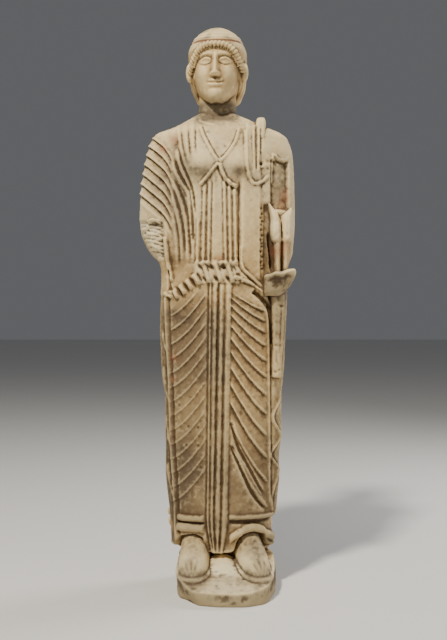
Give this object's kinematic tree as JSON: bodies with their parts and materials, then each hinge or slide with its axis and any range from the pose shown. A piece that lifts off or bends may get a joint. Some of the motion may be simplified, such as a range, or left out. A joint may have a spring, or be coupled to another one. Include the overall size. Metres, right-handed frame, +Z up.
{
  "type": "ancient statue",
  "caption": "Standing draped stone figure, frontal, with pleated robe, sleeved arm, broken forearm and a raised broken attribute, carved in one with a low plinth.",
  "frame": {"origin": "point on the flat underside of the plinth, straight below the middle of the robe between the heels", "axes": "+Z up along the figure's height, -Y the side the figure faces, +X towards the figure's left"},
  "size_m": [0.2791, 0.2178, 0.994],
  "materials": {
    "limestone": "matte"
  },
  "bodies": {
    "root": {"statue": "limestone"}
  },
  "joints": []
}
